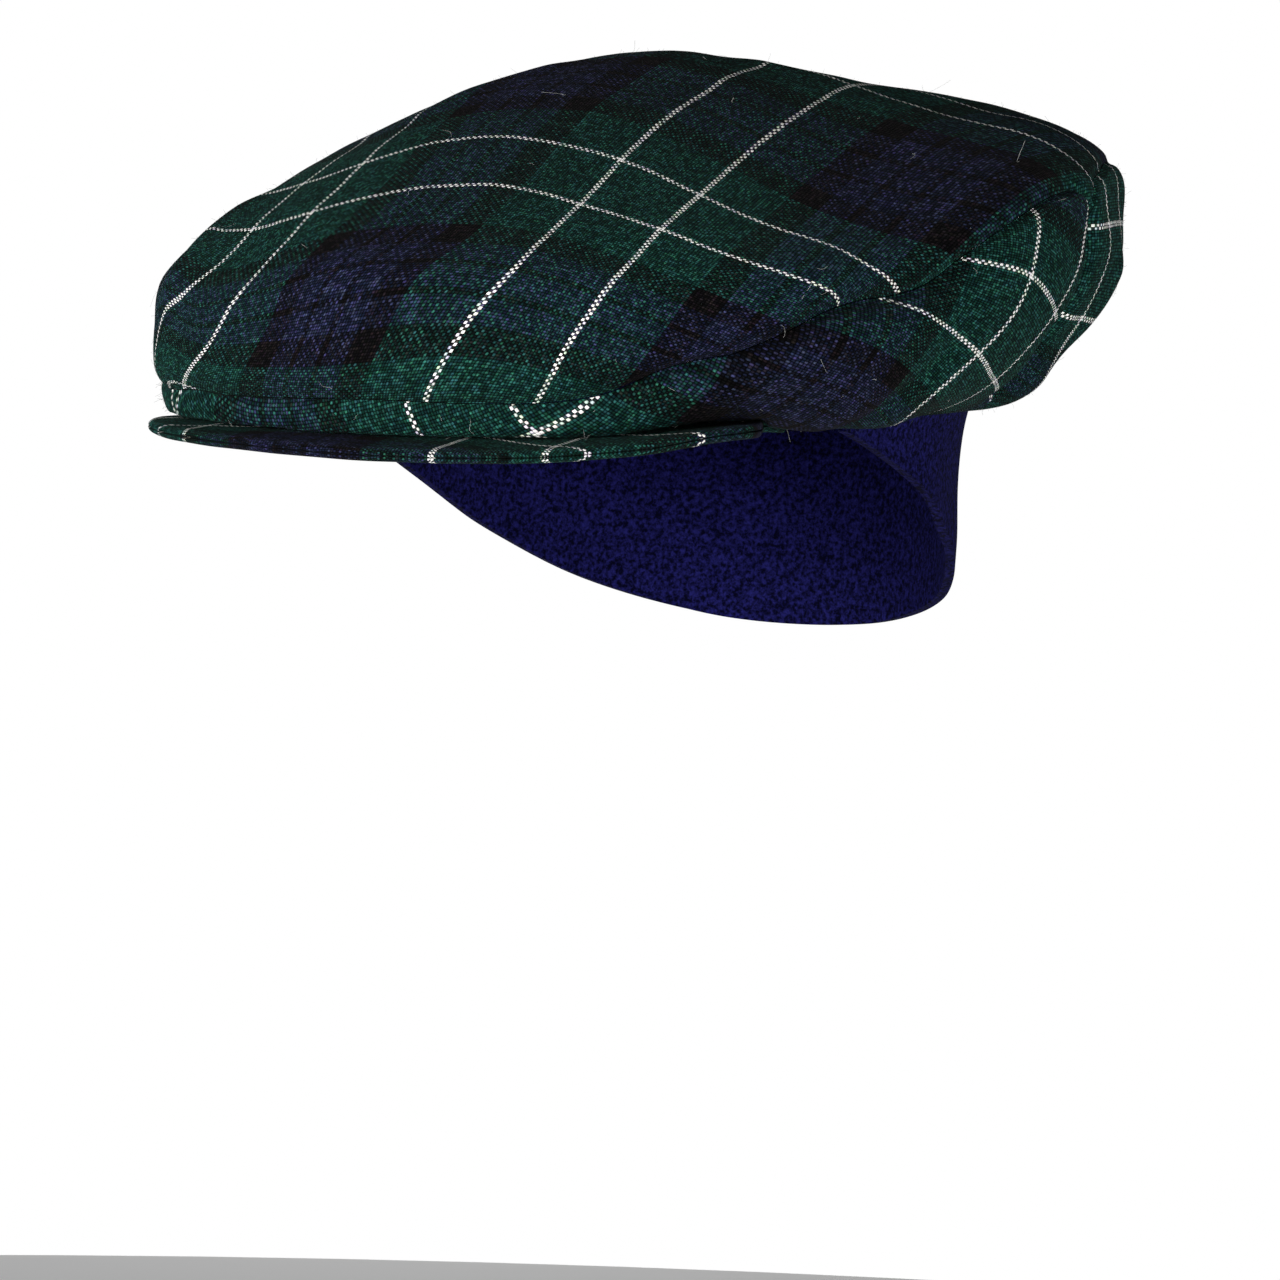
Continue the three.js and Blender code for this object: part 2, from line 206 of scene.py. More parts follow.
def peak_height(x, y):
    """Height of the peak's top face under a place of the crown, far below beside it."""
    turn = np.arctan2(x / OPENING[0], -y / OPENING[1])
    inner = np.hypot(OPENING[0] * np.sin(turn), OPENING[1] * np.cos(turn))
    length = np.maximum(np.hypot(x, y), 1e-6)
    a = (x / length / PEAK[0]) ** 2 + (y / length / PEAK[1]) ** 2
    b = 2 * y / length * PEAK_FORWARD / PEAK[1] ** 2
    root = b * b - 4 * a * ((PEAK_FORWARD / PEAK[1]) ** 2 - 1)
    beside = (y > 0) | (root < 0)
    outer = (-b + np.sqrt(np.maximum(root, 0))) / (2 * a)
    angle = np.arctan2(x / length * outer / PEAK[0], -(y / length * outer + PEAK_FORWARD) / PEAK[1])
    narrow = tip(np.degrees(angle))
    rim = TIP_LIFT * narrow - PEAK_BELOW_RIM
    edge = TIP_LIFT * narrow - on_ring(PEAK_EDGE, 1, np.degrees(angle))
    outer = inner + (outer - inner) * (1 - TIP_NARROW * narrow)
    share = np.clip((length - inner) / np.maximum(outer - inner, 1), 0, 1)
    held = rim + (edge - rim) * share
    height = held - TIP_FALL * narrow * (x > 0) * np.maximum(length - outer, 0)
    return np.where(beside, NO_PEAK, height)


def crown_point(turn, along):
    """The smooth outer face of the crown. along: 0 apex, 1 widest place, 2 rim."""
    turn, along = np.broadcast_arrays(np.asarray(turn, float), np.asarray(along, float))
    angle = np.radians(turn)
    reach = on_ring(SECTIONS, REACH, turn)
    wide_x = (CROWN[0] + reach) * np.sin(angle)
    wide_y = -(CROWN[1] + reach) * np.cos(angle)
    wide_z = on_ring(SECTIONS, WIDEST, turn)
    over = np.minimum(along, 1) * math.pi / 2
    out = np.sin(over)
    drop = APEX_HEIGHT - on_ring(SECTIONS, EDGE, turn)
    sheet = APEX_HEIGHT - drop * out ** on_ring(SECTIONS, FALL, turn)
    share = np.maximum(np.cos(over), 0) ** on_ring(SECTIONS, SHOULDER, turn)
    upper = np.stack([
        wide_x * out,
        APEX_BACK + (wide_y - APEX_BACK) * out,
        wide_z + (sheet - wide_z) * share,
    ], -1)
    under = np.clip(along - 1, 0, 1) * math.pi / 2
    tuck = on_ring(SECTIONS, TUCK, turn)
    inwards = 1 - np.maximum(np.cos(under), 0) ** tuck
    x = wide_x + (OPENING[0] * np.sin(angle) - wide_x) * inwards
    y = wide_y + (-OPENING[1] * np.cos(angle) - wide_y) * inwards
    rim = on_ring(SECTIONS, RIM, turn)
    free = wide_z + (rim - wide_z) * np.sin(under) ** tuck
    free = free - on_ring(SECTIONS, SAG, turn) * np.sin(math.pi * inwards)
    rest = peak_height(x, y) + PEAK_REST
    settled = (free + rest + np.hypot(free - rest, PEAK_CREASE)) / 2
    lower = np.stack([x, y, np.where(rest < NO_PEAK / 10, free, settled)], -1)
    return np.where((along <= 1)[..., None], upper, lower)


def crown_normal(turn, along):
    """The outward direction of the crown's smooth face."""
    along = np.clip(along, NORMAL_STEP, 2 - NORMAL_STEP)
    around = crown_point(turn + 1, along) - crown_point(turn - 1, along)
    down = crown_point(turn, along + NORMAL_STEP) - crown_point(turn, along - NORMAL_STEP)
    normal = np.cross(down, around)
    return normal / np.linalg.norm(normal, axis=-1, keepdims=True)


def fold_depth(turn, from_widest):
    """How far the folds push the cloth in at a turn and a length of cloth from the widest line."""
    around = np.where(turn > 180, turn - 360, turn) * TURN_LENGTH
    depth = np.zeros_like(around)
    for from_turn, from_mm, to_turn, to_mm, width, deep in FOLDS:
        start = np.array((from_turn * TURN_LENGTH, from_mm))
        way = np.array((to_turn * TURN_LENGTH, to_mm)) - start
        share = ((around - start[0]) * way[0] + (from_widest - start[1]) * way[1]) / (way @ way)
        share = np.clip(share, 0, 1)
        away = np.hypot(around - start[0] - share * way[0], from_widest - start[1] - share * way[1])
        depth += deep * np.exp(-((away / width) ** 2))
    return depth


def cloth(name, points, pattern, thickness, ring=False):
    """A wall of cloth from a grid of points in mm, with its place on the pattern as its UV map."""
    columns = points.shape[0] - 1
    rows = points.shape[1] - 1
    bpy.ops.object.select_all(action="DESELECT")
    bpy.ops.mesh.primitive_grid_add(x_subdivisions=columns, y_subdivisions=rows, size=1)
    piece = bpy.context.active_object
    piece.name = name
    mesh = piece.data
    mesh.name = name
    places = np.empty(len(mesh.vertices) * 3, dtype=np.float32)
    mesh.vertices.foreach_get("co", places)
    places = places.reshape(-1, 3)
    column = np.rint((places[:, 0] + 0.5) * columns).astype(int)
    row = np.rint((places[:, 1] + 0.5) * rows).astype(int)
    mesh.vertices.foreach_set("co", (points[column, row] / 1000).astype(np.float32).ravel())
    corner = np.empty(len(mesh.loops), dtype=np.int32)
    mesh.loops.foreach_get("vertex_index", corner)
    layer = mesh.uv_layers[0]
    layer.name = "pattern"
    layer.data.foreach_set("uv", pattern[column, row][corner].astype(np.float32).ravel())
    mesh.update()
    facing = sum(face.area * face.normal.dot(face.center - HOLLOW_MIDDLE) for face in mesh.polygons)
    bpy.ops.object.mode_set(mode="EDIT")
    bpy.ops.mesh.select_all(action="SELECT")
    if ring:
        bpy.ops.mesh.remove_doubles(threshold=0.000001)
    if facing < 0:
        bpy.ops.mesh.flip_normals()
    bpy.ops.object.mode_set(mode="OBJECT")
    wall = piece.modifiers.new("wall", "SOLIDIFY")
    wall.thickness = thickness / 1000
    wall.offset = -1
    bpy.ops.object.modifier_apply(modifier=wall.name)
    bpy.ops.object.shade_smooth_by_angle(angle=math.radians(SMOOTH_UP_TO))
    return piece


def ripple(points, size, height):
    """Soft uneven waves of worn cloth, in mm, the same each time."""
    flat = points.reshape(-1, 3) / size
    waves = [noise.noise(Vector(place)) for place in flat]
    return height * np.array(waves).reshape(points.shape[:-1])


def crown_cloth(turn, along, from_widest, from_seam):
    """Points of the worn cloth: the crown's face with its folds, rolled in beside its seam."""
    smooth = crown_point(turn, along)
    depth = fold_depth(turn, from_widest)
    valley = SEAM_VALLEY_DEPTH * np.interp(turn % 360, VALLEY_TURNS, VALLEY_SHARES)
    depth += valley * np.exp(-((from_seam / SEAM_VALLEY_WIDTH) ** 2))
    roll = SEAM_ROLL * np.interp(turn % 360, ROLL_TURNS, ROLL_SHARES)
    depth += roll * np.exp(-((from_seam / SEAM_ROLL_WIDTH) ** 2))
    for size, height in WAVES:
        depth += ripple(smooth, size, height)
    return smooth - crown_normal(turn, along) * depth[..., None]


def wall_lengths(turns):
    """Places down the sections, close together at the widest line, and the length of cloth
    from the apex to each of them."""
    near = np.linspace(0, 1, CLOSE_PLACES) ** 3
    places = np.concatenate([
        np.linspace(0, 0.5, SPARSE_PLACES)[:-1], 1 - 0.5 * near[::-1], 1 + 0.5 * near[1:],
        2 - 0.5 * near[::-1][1:],
    ])
    wall = crown_point(turns[:, None], places[None, :])
    lengths = np.cumsum(np.linalg.norm(np.diff(wall, axis=1), axis=-1), axis=1)
    return places, np.concatenate([np.zeros((len(turns), 1)), lengths], axis=1)


def seam_edge(turns, side):
    """Where the wall ends above the top seam (side -1) or below it (side 1)."""
    places, lengths = wall_lengths(turns)
    inset = side * GAP / 2
    slope = (on_ring(TOP_SEAM, 1, turns + 1) - on_ring(TOP_SEAM, 1, turns - 1)) / 2 / TURN_LENGTH
    edge = []
    for length, below, steep in zip(lengths, on_ring(TOP_SEAM, 1, turns), slope):
        from_apex = np.interp(1, places, length) + below + inset * math.hypot(1, steep)
        edge.append(np.interp(from_apex, length, places))
    return np.array(edge)


def down_the_wall(turns, start, end, share):
    """Places down the sections between two lines, spaced by the length of cloth, and that
    length from the apex and from the widest place."""
    places, lengths = wall_lengths(turns)
    along = np.empty((len(turns), len(share)))
    from_apex = np.empty_like(along)
    from_widest = np.empty_like(along)
    for row, length in enumerate(lengths):
        first = np.interp(start[row], places, length)
        last = np.interp(end[row], places, length)
        from_apex[row] = first + (last - first) * share
        along[row] = np.interp(from_apex[row], length, places)
        from_widest[row] = from_apex[row] - np.interp(1, places, length)
    return along, from_apex, from_widest


PIN_SLACK = 0.05
PIN_SCALE = 50


def drawn(pins, across, down):
    """How far the cloth is drawn off its straight grain at a place, smooth between the pins."""
    places = pins[:, :2] / PIN_SCALE
    across = across / PIN_SCALE
    down = down / PIN_SCALE

    def bend(x, y):
        square = x * x + y * y
        return 0.5 * square * np.log(np.maximum(square, 1e-9))

    count = len(pins)
    system = np.zeros((count + 3, count + 3))
    system[:count, :count] = bend(
        places[:, None, 0] - places[None, :, 0], places[:, None, 1] - places[None, :, 1]
    )
    system[:count, :count] += np.eye(count) * PIN_SLACK
    system[:count, count:] = np.column_stack([np.ones(count), places])
    system[count:, :count] = system[:count, count:].T
    weights = np.linalg.solve(system, np.append(pins[:, 2], np.zeros(3)))
    shift = weights[count] + weights[count + 1] * across + weights[count + 2] * down
    for (x, y), weight in zip(places, weights):
        shift = shift + weight * bend(across - x, down - y)
    return shift


# The tartan repeats after 129 threads both ways; a white line starts at thread 0 and 32.
THREAD = 0.806
THREADS_IN_REPEAT = 129
WHITE_LINE = 1
LINE_APART = 32

# Places of the top panel's cut (mm across and down it) and how far its grain is drawn there.
ACROSS_PINS = np.array([
    (-55, -82, -4), (-57, -115, -2), (-59, -133, 0), (-60, -146, 0), (-66, -155, 7),
    (-74, -155, 14), (-88, -148, 29), (-104, -148, 45), (-44, -60, 10), (-39, -88, 5),
    (-36, -138, 2), (-38, -159, 4), (-42, -167, 8), (-51, -171, 17), (-60, -176, 26),
    (-71, -174, 37), (-80, -173, 46), (-94, -169, 60), (31, -4, 14), (38, -51, 7),
    (41, -86, 4), (45, -130, 0), (44, -165, 1), (37, -177, 8), (31, -191, 14), (25, -202, 20),
    (55, -7, 15), (62, -50, 8), (66, -80, 4), (69, -130, 1), (68, -155, 2), (64, -171, 6),
    (60, -192, 10), (0, 60, 10), (-100, 0, 0), (120, 0, 10), (0, 150, 5), (110, -110, 0),
])
DOWN_PINS = np.array([
    (-101, -103, -27), (-77, -122, -8), (-66, -155, 2), (-88, -148, -28), (-104, -148, -44),
    (-38, -159, 8), (-51, -171, 2), (-71, -174, -15), (-94, -169, -44), (37, -177, -2),
    (31, -191, -1), (25, -203, 1), (8, -207, 3), (-12, -207, 3), (-30, -205, -1),
    (-59, -133, 3), (-36, -138, 8), (-5, -132, 2), (23, -129, -1),
    (69, -130, 0), (89, -126, -4), (103, -120, -10), (116, -108, -22), (-87, -92, -12),
    (-68, -103, -1), (-47, -111, 7), (-16, -105, 1), (7, -104, 0), (43, -105, 1),
    (66, -108, 4), (94, -107, 3), (115, -100, -4), (125, -91, -13), (31, -4, -22),
    (73, -3, -23), (97, 6, -32), (114, 12, -38), (69, 18, -18), (113, 27, -27),
    (0, 100, -20), (-100, 40, -20), (100, 100, -20),
])
FIRST_LINE_ACROSS = -59.5
FIRST_LINE_DOWN = -130

TOP_COLUMNS = 360
TOP_ROWS = 92
ROWS_CROWD_AT_SEAM = 1.25
turns = np.linspace(0, 360, TOP_COLUMNS + 1)
turn = turns[:, None] * np.ones(TOP_ROWS + 1)
share = 1 - (1 - np.linspace(0, 1, TOP_ROWS + 1)) ** ROWS_CROWD_AT_SEAM
along, arc, below = down_the_wall(turns, np.zeros_like(turns), seam_edge(turns, -1), share)
heading = np.arctan2(
    CROWN[0] * np.sin(np.radians(turn)), CROWN[1] * np.cos(np.radians(turn)) + APEX_BACK
)
across = arc * np.sin(heading)
down = -arc * np.cos(heading)
top_pattern = np.stack([
    (across + drawn(ACROSS_PINS, across, down) - FIRST_LINE_ACROSS) / THREAD + WHITE_LINE,
    (down + drawn(DOWN_PINS, across, down) - FIRST_LINE_DOWN) / THREAD + WHITE_LINE,
], -1)
top_points = crown_cloth(turn, along, below, arc[:, -1:] - arc)
top_out = crown_normal(turn, along)
top_panel = cloth("crown_top_panel_cloth", top_points, top_pattern, CLOTH, ring=True)

# Plain weave of the tartan: at each crossing either the thread that runs up or the one that
# runs across lies on top, each in the colour of its place in the repeat, with painted shade in the
# gaps between the yarns and a painted highlight on each hump. The white is given brighter than
# any yarn, to hold through this painted shading, and is capped at clean white afterwards.
SETT = [
    # threads, colour
    (2, "white"), (30, "green"), (2, "white"), (22, "green"), (10, "black"), (9, "navy"),
    (2, "black"), (9, "navy"), (2, "black"), (9, "navy"), (10, "black"), (22, "green"),
]
YARN = {
    "white": (1.6, 1.6, 1.54, 1),
    "green": (0.005, 0.029, 0.0235, 1),
    "navy": (0.009, 0.0115, 0.029, 1),
    "black": (0.0032, 0.0026, 0.0032, 1),
}
CLEAN_WHITE = (0.86, 0.86, 0.83)
DULLEST_THREAD = 0.82
BRIGHTEST_THREAD = 1.22
HUMP_ROUNDNESS = 1.2
HUMP_DIP = 0.8
PAINTED_HUMP_BRIGHTNESS = 2.1
PAINTED_GAP_BRIGHTNESS = 0.02
SPECK_RARITY = 2.5
SPECK_BRIGHTNESS = 2.1
SPECK_LEAST = 0.4
FIBRE_HEIGHT = 0.5
THREAD_BELOW_SHOWS = 0.25


def link(nodes, source, target):
    """Joins an output socket to an input socket."""
    nodes.id_data.links.new(source, target)


def maths(nodes, operation, *inputs):
    """A Math node on numbers or sockets, and its result."""
    node = nodes.new("ShaderNodeMath")
    node.operation = operation
    for socket, value in zip(node.inputs, inputs):
        if isinstance(value, (int, float)):
            socket.default_value = value
        else:
            link(nodes, value, socket)
    return node.outputs[0]


weave = bpy.data.node_groups.new("tartan_weave", "ShaderNodeTree")
weave.interface.new_socket("Pattern", in_out="INPUT", socket_type="NodeSocketVector")
weave.interface.new_socket("Color", in_out="OUTPUT", socket_type="NodeSocketColor")
weave.interface.new_socket("Height", in_out="OUTPUT", socket_type="NodeSocketFloat")
nodes = weave.nodes
given = nodes.new("NodeGroupInput")
split = nodes.new("ShaderNodeSeparateXYZ")
link(nodes, given.outputs["Pattern"], split.inputs[0])
thread_up = maths(nodes, "FLOOR", split.outputs["X"])
thread_across = maths(nodes, "FLOOR", split.outputs["Y"])
in_up = maths(nodes, "FRACT", split.outputs["X"])
in_across = maths(nodes, "FRACT", split.outputs["Y"])
on_top = maths(nodes, "FLOORED_MODULO", maths(nodes, "ADD", thread_up, thread_across), 2)
colours = []
for thread in (thread_up, thread_across):
    place = maths(nodes, "FLOORED_MODULO", thread, THREADS_IN_REPEAT)
    place = maths(nodes, "DIVIDE", maths(nodes, "ADD", place, 0.5), THREADS_IN_REPEAT)
    ramp = nodes.new("ShaderNodeValToRGB")
    ramp.color_ramp.interpolation = "CONSTANT"
    link(nodes, place, ramp.inputs[0])
    stops = ramp.color_ramp.elements
    threads = 0
    for number, (count, colour) in enumerate(SETT):
        stop = stops[0] if number == 0 else stops.new(threads / THREADS_IN_REPEAT)
        stop.color = YARN[colour]
        threads += count
    stops.remove(stops[len(stops) - 1])
    own = nodes.new("ShaderNodeTexWhiteNoise")
    own.noise_dimensions = "1D"
    link(nodes, thread, own.inputs["W"])
    tone = nodes.new("ShaderNodeMapRange")
    link(nodes, own.outputs["Value"], tone.inputs["Value"])
    tone.inputs["To Min"].default_value = DULLEST_THREAD
    tone.inputs["To Max"].default_value = BRIGHTEST_THREAD
    toned = nodes.new("ShaderNodeVectorMath")
    toned.operation = "SCALE"
    link(nodes, ramp.outputs["Color"], toned.inputs[0])
    link(nodes, tone.outputs[0], toned.inputs["Scale"])
    colours.append(toned.outputs[0])
yarn = nodes.new("ShaderNodeMix")
yarn.data_type = "RGBA"
link(nodes, on_top, yarn.inputs["Factor"])
link(nodes, colours[0], yarn.inputs["A"])
link(nodes, colours[1], yarn.inputs["B"])
# The thread on top is a rounded hump, full across its width and dipping at both ends.
humps = []
for within, ends in ((in_up, in_across), (in_across, in_up)):
    width = maths(nodes, "SINE", maths(nodes, "MULTIPLY", within, math.pi))
    length = maths(nodes, "SINE", maths(nodes, "MULTIPLY", ends, math.pi))
    full = maths(nodes, "POWER", maths(nodes, "MAXIMUM", width, 0), HUMP_ROUNDNESS)
    dip = maths(nodes, "ADD", maths(nodes, "MULTIPLY", length, HUMP_DIP), 1 - HUMP_DIP)
    humps.append(maths(nodes, "MULTIPLY", full, dip))
hump = nodes.new("ShaderNodeMix")
link(nodes, on_top, hump.inputs["Factor"])
link(nodes, humps[0], hump.inputs["A"])
link(nodes, humps[1], hump.inputs["B"])
fibres = nodes.new("ShaderNodeTexNoise")
fibres.inputs["Scale"].default_value = 2.3
fibres.inputs["Detail"].default_value = 4
fibres.inputs["Roughness"].default_value = 0.75
link(nodes, given.outputs["Pattern"], fibres.inputs["Vector"])
cell = nodes.new("ShaderNodeTexWhiteNoise")
cell.noise_dimensions = "2D"
cell_place = nodes.new("ShaderNodeCombineXYZ")
link(nodes, thread_up, cell_place.inputs[0])
link(nodes, thread_across, cell_place.inputs[1])
link(nodes, cell_place.outputs[0], cell.inputs["Vector"])
spread = nodes.new("ShaderNodeMapRange")
link(nodes, fibres.outputs[0], spread.inputs["Value"])
spread.inputs["From Min"].default_value = 0.3
spread.inputs["From Max"].default_value = 0.7
spread.inputs["To Min"].default_value = 0.35
spread.inputs["To Max"].default_value = 1.6
# Painted shade and highlight: the colour is scaled by the hump, near black in the gaps between the
# yarns and brightest on top of each hump.
shade = maths(nodes, "MULTIPLY", hump.outputs["Result"], PAINTED_HUMP_BRIGHTNESS)
shade = maths(nodes, "ADD", shade, PAINTED_GAP_BRIGHTNESS)
shade = maths(nodes, "MULTIPLY", shade, spread.outputs[0])
# Some crossings catch the light and others lie deep, with a trace of colour of their own.
speck = maths(nodes, "POWER", cell.outputs["Value"], SPECK_RARITY)
speck = maths(nodes, "ADD", maths(nodes, "MULTIPLY", speck, SPECK_BRIGHTNESS), SPECK_LEAST)
shade = maths(nodes, "MULTIPLY", shade, speck)
tint = nodes.new("ShaderNodeVectorMath")
tint.operation = "MULTIPLY_ADD"
tint.inputs[1].default_value = (0.4, 0.4, 0.4)
tint.inputs[2].default_value = (0.8, 0.8, 0.8)
link(nodes, cell.outputs["Color"], tint.inputs[0])
# Loose fibres of the thread below show through the one on top, less so on the white lines.
even = nodes.new("ShaderNodeMix")
even.data_type = "RGBA"
even.inputs["Factor"].default_value = 0.5
link(nodes, colours[0], even.inputs["A"])
link(nodes, colours[1], even.inputs["B"])
darkest = nodes.new("ShaderNodeMix")
darkest.data_type = "RGBA"
darkest.blend_type = "DARKEN"
darkest.inputs["Factor"].default_value = 1
link(nodes, even.outputs["Result"], darkest.inputs["A"])
darkest.inputs["B"].default_value = (0.05, 0.05, 0.05, 1)
woven = nodes.new("ShaderNodeMix")
woven.data_type = "RGBA"
woven.inputs["Factor"].default_value = THREAD_BELOW_SHOWS
link(nodes, yarn.outputs["Result"], woven.inputs["A"])
link(nodes, darkest.outputs["Result"], woven.inputs["B"])
shaded = nodes.new("ShaderNodeVectorMath")
shaded.operation = "SCALE"
link(nodes, woven.outputs["Result"], shaded.inputs[0])
link(nodes, shade, shaded.inputs["Scale"])
tinted = nodes.new("ShaderNodeVectorMath")
tinted.operation = "MULTIPLY"
link(nodes, shaded.outputs[0], tinted.inputs[0])
link(nodes, tint.outputs[0], tinted.inputs[1])
# No crossing is brighter than clean white yarn.
brightest = nodes.new("ShaderNodeVectorMath")
brightest.operation = "MINIMUM"
link(nodes, tinted.outputs[0], brightest.inputs[0])
brightest.inputs[1].default_value = CLEAN_WHITE
given_out = nodes.new("NodeGroupOutput")
link(nodes, brightest.outputs[0], given_out.inputs["Color"])
loose = maths(nodes, "MULTIPLY", fibres.outputs[0], FIBRE_HEIGHT)
height = maths(nodes, "ADD", hump.outputs["Result"], loose)
link(nodes, height, given_out.inputs["Height"])


def tartan_wool(name):
    """Tartan wool on a piece's own pattern: dull, soft yarns with a short nap."""
    material = bpy.data.materials.new(name)
    material.use_nodes = True
    nodes = material.node_tree.nodes
    shader = nodes["Principled BSDF"]
    shader.inputs["Roughness"].default_value = 0.88
    shader.inputs["Specular IOR Level"].default_value = 0.03
    shader.inputs["Sheen Weight"].default_value = 0.01
    shader.inputs["Sheen Roughness"].default_value = 0.5
    pattern = nodes.new("ShaderNodeUVMap")
    pattern.uv_map = "pattern"
    threads = nodes.new("ShaderNodeGroup")
    threads.node_tree = weave
    link(nodes, pattern.outputs[0], threads.inputs["Pattern"])
    link(nodes, threads.outputs["Color"], shader.inputs["Base Color"])
    bump = nodes.new("ShaderNodeBump")
    bump.inputs["Strength"].default_value = 0.55
    bump.inputs["Distance"].default_value = 0.0004
    link(nodes, threads.outputs["Height"], bump.inputs["Height"])
    link(nodes, bump.outputs[0], shader.inputs["Normal"])
    return material


wool = tartan_wool("tartan_wool")
top_panel.data.materials.append(wool)
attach(top_panel, "root")
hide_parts("crown_top_panel")

# Front panel of the crown
# One curved strip of the same wool from side seam to side seam, low over the peak and deep
# at the sides, cut so that its grain runs at a slant there.
SIDE_ROWS = 56
FRONT_COLUMNS = 340
SLANT_SMOOTHING = 17
SLANT_SMOOTHINGS = 3
# Degrees round the cap and mm round its widest line that the strip's measures reach to
RING_TURNS = np.arange(-260, 361)
RING_MM = np.arange(-260, 261.0)
SLANT = np.array([
    # mm round the widest line from the front, the strip's slant to the grain there
    (-250, -58), (-120, -55), (-85, -46), (-65, -34), (-45, -20), (-25, 0), (15, 8), (45, 24),
    (65, 38), (85, 50), (120, 58), (150, 60), (250, 62),
])
# Places on the strip (mm round and down from the widest line) and how far its grain is drawn.
STRIP_ACROSS_PINS = np.array([
    (163, -8, 6), (192, 2, 0), (215, 17, 2), (158, 7, -4), (171, 16, -3), (192, 30, -1),
    (228, 48, -3), (140, 10, -10), (43, 21, -7), (15, 20, -11), (-85, 14, -11), (-150, 20, -11),
])
STRIP_DOWN_PINS = np.array([
    (197, -14, 3), (194, 2, -2), (189, 12, -3), (179, 20, 2), (165, 23, 10), (161, 33, 12),
    (236, -15, 0), (215, 13, 0), (202, 29, 0), (194, 45, 0), (152, 34, 2), (80, 17, 18),
    (45, 24, 14), (65, 16, 14), (-25, 15, 12), (-120, 20, 10),
])
FIRST_STRIP_LINE_ACROSS = 105
FIRST_STRIP_LINE_DOWN = 125


def wall_grid(from_turn, to_turn, columns):
    """A side panel from the top seam to the rim: turns and places along the sections, mm round
    the widest line from the front and down from it, and mm from the top seam."""
    inset = GAP / 2 / TURN_LENGTH
    turns = np.linspace(from_turn + inset, to_turn - inset, columns + 1)
    share = np.linspace(0, 1, SIDE_ROWS + 1) ** ROWS_CROWD_AT_SEAM
    along, arc, down_wall = down_the_wall(turns, seam_edge(turns, 1), np.full_like(turns, 2), share)
    ring = crown_point(RING_TURNS, 1.0)
    lengths = np.append(0, np.cumsum(np.linalg.norm(np.diff(ring, axis=0), axis=-1)))
    lengths -= np.interp(0, RING_TURNS, lengths)
    turn = turns[:, None] * np.ones(SIDE_ROWS + 1)
    return turn, along, np.interp(turn, RING_TURNS, lengths), down_wall, arc - arc[:, :1]


turn, along, round_wall, down_wall, from_seam = wall_grid(-SIDE_SEAM, SIDE_SEAM, FRONT_COLUMNS)
slant = np.radians(np.interp(RING_MM, SLANT[:, 0], SLANT[:, 1]))
window = np.ones(SLANT_SMOOTHING) / SLANT_SMOOTHING
for _ in range(SLANT_SMOOTHINGS):
    padded = np.pad(slant, SLANT_SMOOTHING // 2, mode="edge")
    slant = np.convolve(padded, window, mode="valid")
to_across = np.cumsum(np.cos(slant))
to_across -= np.interp(0, RING_MM, to_across)
to_down = np.cumsum(np.sin(slant))
to_down -= np.interp(0, RING_MM, to_down)
slant_here = np.interp(round_wall, RING_MM, slant)
across = np.interp(round_wall, RING_MM, to_across) - down_wall * np.sin(slant_here)
down = np.interp(round_wall, RING_MM, to_down) + down_wall * np.cos(slant_here)
across += drawn(STRIP_ACROSS_PINS, round_wall, down_wall)
down += drawn(STRIP_DOWN_PINS, round_wall, down_wall)
front_pattern = np.stack([
    (FIRST_STRIP_LINE_ACROSS - across) / THREAD + WHITE_LINE + LINE_APART,
    (FIRST_STRIP_LINE_DOWN - down) / THREAD + WHITE_LINE + LINE_APART,
], -1)
front_points = crown_cloth(turn, along, down_wall, from_seam)
front_out = crown_normal(turn, along)
front_panel = cloth("crown_front_panel_cloth", front_points, front_pattern, CLOTH)
front_panel.data.materials.append(wool)
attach(front_panel, "root")
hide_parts("crown_front_panel")

# Back panel of the crown
# The rest of the side wall, round the back of the head between the two side seams, with its
# grain upright beside the seam.
BACK_COLUMNS = 280
BACK_LINE_ROUND = 250
BACK_LINE_DOWN = -5
# Below the hollow over the ear the stripes are drawn closer together, so that the black and navy
# stripes come up into the hollow: partly the cloth's own dark stripes, partly painted shade there.
DARK_STRIPES_FROM = 23
DARK_STRIPES_SQUEEZE = 1.2
turn, along, round_wall, down_wall, from_seam = wall_grid(
    SIDE_SEAM, 360 - SIDE_SEAM, BACK_COLUMNS
)
# Painted shade: squeezing the stripes below here puts the dark stripes where the hollow's shade
# falls.
down_squeezed = down_wall + DARK_STRIPES_SQUEEZE * np.maximum(down_wall - DARK_STRIPES_FROM, 0)
back_pattern = np.stack([
    (round_wall - BACK_LINE_ROUND) / THREAD + WHITE_LINE,
    (down_squeezed - BACK_LINE_DOWN) / THREAD + WHITE_LINE,
], -1)
back_points = crown_cloth(turn, along, down_wall, from_seam)
back_out = crown_normal(turn, along)
back_panel = cloth("crown_back_panel_cloth", back_points, back_pattern, CLOTH)
back_panel.data.materials.append(wool)
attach(back_panel, "root")
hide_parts("crown_back_panel")

# Peak
# A stiff crescent covered in the tartan: an upper cloth and an under cloth that meet in a
# seam round its edge, so the stripes of both mirror each other there.
PEAK_COLUMNS = 220
PEAK_ROWS = 40
PEAK_EDGE_ROLL = 1.5
PEAK_ROLL_WIDTH = 2.6
PEAK_LINE_ACROSS = 26
PEAK_STRETCH = 1.27
PEAK_FRONT_STRETCH = 2
PEAK_LINE_DOWN = -133
# The line across the peak bends back from this place on towards the wearer's right.
PEAK_LINE_BEND = 5
PEAK_BEND_START = 48
PEAK_BEND_LENGTH = 25
PEAK_END = 98
PEAK_WAVES = (18, 0.25)


